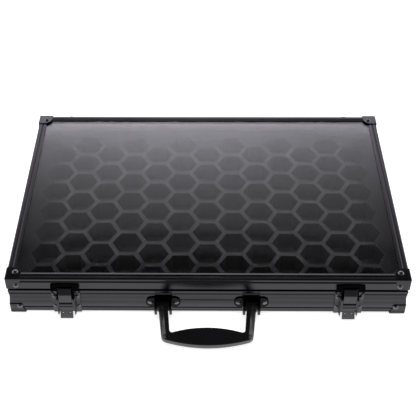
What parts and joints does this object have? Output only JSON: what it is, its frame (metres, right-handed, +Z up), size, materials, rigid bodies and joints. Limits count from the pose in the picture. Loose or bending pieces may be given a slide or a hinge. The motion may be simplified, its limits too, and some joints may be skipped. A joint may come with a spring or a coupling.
{
  "type": "dice display case",
  "caption": "Shallow hinged display case: black metal rails round a clear lid, a honeycomb of cells inside, two draw latches and a swinging carrying handle.",
  "frame": {"origin": "on the supporting surface, under the middle of the whole part's bounding box with the lid shut and the handle lowered as pictured", "axes": "+X along the case's length, to the right as seen from the front; +Y from the front, with latches and handle, to the hinges at the back; +Z up"},
  "size_m": [0.461, 0.3668, 0.059],
  "materials": {
    "rail_anodised": "satin",
    "guard_coated": "gloss",
    "latch_coated": "gloss",
    "hinge_coated": "satin",
    "rivet_coated": "polished",
    "window_clear": "gloss",
    "panel_black": "matte",
    "foam_black": "matte",
    "handle_black": "satin",
    "foot_rubber": "matte"
  },
  "bodies": {
    "base": {"base_rail_front": "rail_anodised", "base_rail_right": "rail_anodised", "base_rail_rear": "rail_anodised", "base_rail_left": "rail_anodised", "bottom_panel": "panel_black", "foam_pad": "foam_black", "honeycomb_insert": "foam_black", "base_guard_front_left": "guard_coated", "base_guard_front_right": "guard_coated", "base_guard_rear_right": "guard_coated", "base_guard_rear_left": "guard_coated", "base_guard_rivets": "rivet_coated", "latch_plate_left": "latch_coated", "latch_plate_right": "latch_coated", "latch_plate_rivets": "rivet_coated", "latch_pivot_studs": "rivet_coated", "handle_bracket_left": "latch_coated", "handle_bracket_right": "latch_coated", "handle_bracket_rivets": "rivet_coated", "handle_pivot_pins": "rivet_coated", "hinge_base_leaf_left": "hinge_coated", "hinge_base_leaf_right": "hinge_coated", "hinge_pins": "rivet_coated", "hinge_base_rivets": "rivet_coated", "base_rear_feet": "foot_rubber"},
    "lid": {"lid_rail_front": "rail_anodised", "lid_rail_right": "rail_anodised", "lid_rail_rear": "rail_anodised", "lid_rail_left": "rail_anodised", "lid_window": "window_clear", "lid_guard_front_left": "guard_coated", "lid_guard_front_right": "guard_coated", "lid_guard_rear_right": "guard_coated", "lid_guard_rear_left": "guard_coated", "lid_guard_top_rivets": "rivet_coated", "lid_guard_side_rivets": "rivet_coated", "latch_keeper_left": "latch_coated", "latch_keeper_right": "latch_coated", "latch_keeper_rivets": "rivet_coated", "hinge_lid_leaf_left": "hinge_coated", "hinge_lid_leaf_right": "hinge_coated", "hinge_lid_rivets": "rivet_coated", "lid_rear_feet": "foot_rubber"},
    "latch_lever_left": {"latch_lever_left": "latch_coated"},
    "latch_lever_right": {"latch_lever_right": "latch_coated"},
    "latch_link_left": {"latch_link_left": "latch_coated"},
    "latch_link_right": {"latch_link_right": "latch_coated"},
    "handle": {"handle": "handle_black"}
  },
  "joints": [
    {"name": "lid_hinge", "type": "hinge", "parent": "base", "child": "lid", "pos_m": [0, 0.1794, 0.038], "axis": [-1, 0, 0], "range_deg": [0, 100]},
    {"name": "handle_swing", "type": "hinge", "parent": "base", "child": "handle", "pos_m": [0, -0.1346, 0.018], "axis": [-1, 0, 0], "range_deg": [-70, 100]},
    {"name": "latch_lever_left", "type": "hinge", "parent": "base", "child": "latch_lever_left", "pos_m": [-0.1614, -0.1336, 0.0292], "axis": [-1, 0, 0], "range_deg": [0, 115]},
    {"name": "latch_link_left", "type": "hinge", "parent": "latch_lever_left", "child": "latch_link_left", "pos_m": [-0.1614, -0.1328, 0.0204], "axis": [-1, 0, 0], "range_deg": [-98, 0]},
    {"name": "latch_lever_right", "type": "hinge", "parent": "base", "child": "latch_lever_right", "pos_m": [0.1614, -0.1336, 0.0292], "axis": [-1, 0, 0], "range_deg": [0, 115]},
    {"name": "latch_link_right", "type": "hinge", "parent": "latch_lever_right", "child": "latch_link_right", "pos_m": [0.1614, -0.1328, 0.0204], "axis": [-1, 0, 0], "range_deg": [-98, 0]}
  ],
  "couplings": [
    {"joint": "latch_link_left", "follows": "latch_lever_left", "ratio": -0.85},
    {"joint": "latch_link_right", "follows": "latch_lever_right", "ratio": -0.85}
  ]
}
